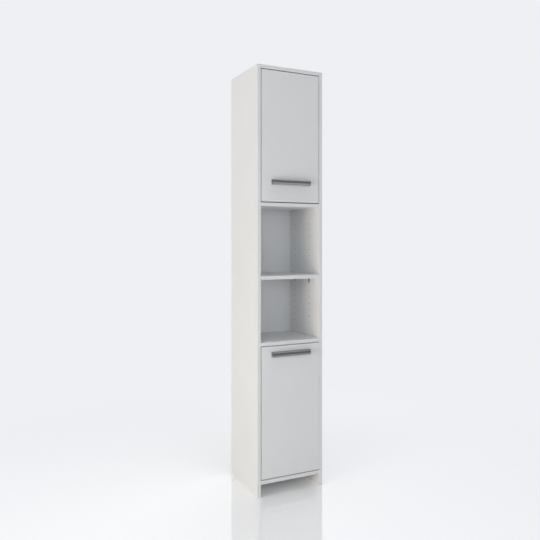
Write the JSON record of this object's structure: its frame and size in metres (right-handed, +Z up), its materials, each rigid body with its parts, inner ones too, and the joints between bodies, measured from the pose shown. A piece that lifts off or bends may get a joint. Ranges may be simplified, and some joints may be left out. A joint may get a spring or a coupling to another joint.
{
  "type": "tall bathroom cabinet",
  "caption": "Narrow tall cabinet for a bathroom: a cupboard with an inset door above and below an open section with a shelf, on side panels that run down to the floor as legs.",
  "frame": {"origin": "on the floor, at the middle of the footprint of the whole cabinet with its handles", "axes": "+Z up, -Y to the front where the doors are, +X to the right seen from the front"},
  "size_m": [0.328, 0.318, 1.918],
  "materials": {
    "white_board": "white melamine on chipboard, fine grained satin",
    "back_board": "thin hardboard, white lacquer in front and bare brown behind",
    "handle_metal": "dark satin metal",
    "hinge_steel": "nickel plated pressed steel",
    "support_steel": "dark plated steel",
    "screw_steel": "bright zinc plated steel",
    "bolt_steel": "yellow passivated steel",
    "zinc": "die cast zinc",
    "bracket_steel": "zinc plated steel",
    "beech": "fluted beech dowel"
  },
  "bodies": {
    "carcass": {"back_panel": "back_board", "base_panel": "white_board", "base_panel_bolts": "bolt_steel", "base_panel_cams": "zinc", "base_panel_dowels": "beech", "left_side": "white_board", "left_wall_bracket": "bracket_steel", "lower_door_bottom_hinge_arm": "hinge_steel", "lower_door_bottom_hinge_plate": "hinge_steel", "lower_door_top_hinge_arm": "hinge_steel", "lower_door_top_hinge_plate": "hinge_steel", "lower_fixed_shelf": "white_board", "lower_fixed_shelf_bolts": "bolt_steel", "lower_fixed_shelf_cams": "zinc", "lower_fixed_shelf_dowels": "beech", "lower_hinge_arm_screws": "screw_steel", "lower_hinge_plate_screws": "screw_steel", "lower_inner_shelf": "white_board", "lower_inner_shelf_supports": "support_steel", "middle_shelf": "white_board", "middle_shelf_supports": "support_steel", "right_side": "white_board", "right_wall_bracket": "bracket_steel", "top_panel": "white_board", "top_panel_bolts": "bolt_steel", "top_panel_cams": "zinc", "top_panel_dowels": "beech", "upper_door_bottom_hinge_arm": "hinge_steel", "upper_door_bottom_hinge_plate": "hinge_steel", "upper_door_top_hinge_arm": "hinge_steel", "upper_door_top_hinge_plate": "hinge_steel", "upper_fixed_shelf": "white_board", "upper_fixed_shelf_bolts": "bolt_steel", "upper_fixed_shelf_cams": "zinc", "upper_fixed_shelf_dowels": "beech", "upper_hinge_arm_screws": "screw_steel", "upper_hinge_plate_screws": "screw_steel", "upper_inner_shelf": "white_board", "upper_inner_shelf_supports": "support_steel", "wall_bracket_screws": "screw_steel"},
    "lower_door": {"lower_door": "white_board", "lower_door_bottom_hinge_cup": "hinge_steel", "lower_door_top_hinge_cup": "hinge_steel", "lower_handle": "handle_metal", "lower_handle_screws": "screw_steel", "lower_hinge_cup_screws": "screw_steel"},
    "lower_hinge_links": {"lower_hinge_links": "hinge_steel"},
    "upper_door": {"upper_door": "white_board", "upper_door_bottom_hinge_cup": "hinge_steel", "upper_door_top_hinge_cup": "hinge_steel", "upper_handle": "handle_metal", "upper_handle_screws": "screw_steel", "upper_hinge_cup_screws": "screw_steel"},
    "upper_hinge_links": {"upper_hinge_links": "hinge_steel"}
  },
  "joints": [
    {"name": "upper_door_hinge", "type": "hinge", "parent": "carcass", "child": "upper_door", "pos_m": [0.145, -0.141, 1.589], "axis": [0, 0, 1], "range_deg": [0, 100]},
    {"name": "upper_link_swing", "type": "hinge", "parent": "carcass", "child": "upper_hinge_links", "pos_m": [0.145, -0.141, 1.589], "axis": [0, 0, 1], "range_deg": [0, 50]},
    {"name": "lower_door_hinge", "type": "hinge", "parent": "carcass", "child": "lower_door", "pos_m": [0.1474, -0.141, 0.366], "axis": [0, 0, 1], "range_deg": [0, 100]},
    {"name": "lower_link_swing", "type": "hinge", "parent": "carcass", "child": "lower_hinge_links", "pos_m": [0.1474, -0.141, 0.366], "axis": [0, 0, 1], "range_deg": [0, 50]}
  ],
  "couplings": [
    {"joint": "upper_link_swing", "follows": "upper_door_hinge", "ratio": 0.5},
    {"joint": "lower_link_swing", "follows": "lower_door_hinge", "ratio": 0.5}
  ]
}
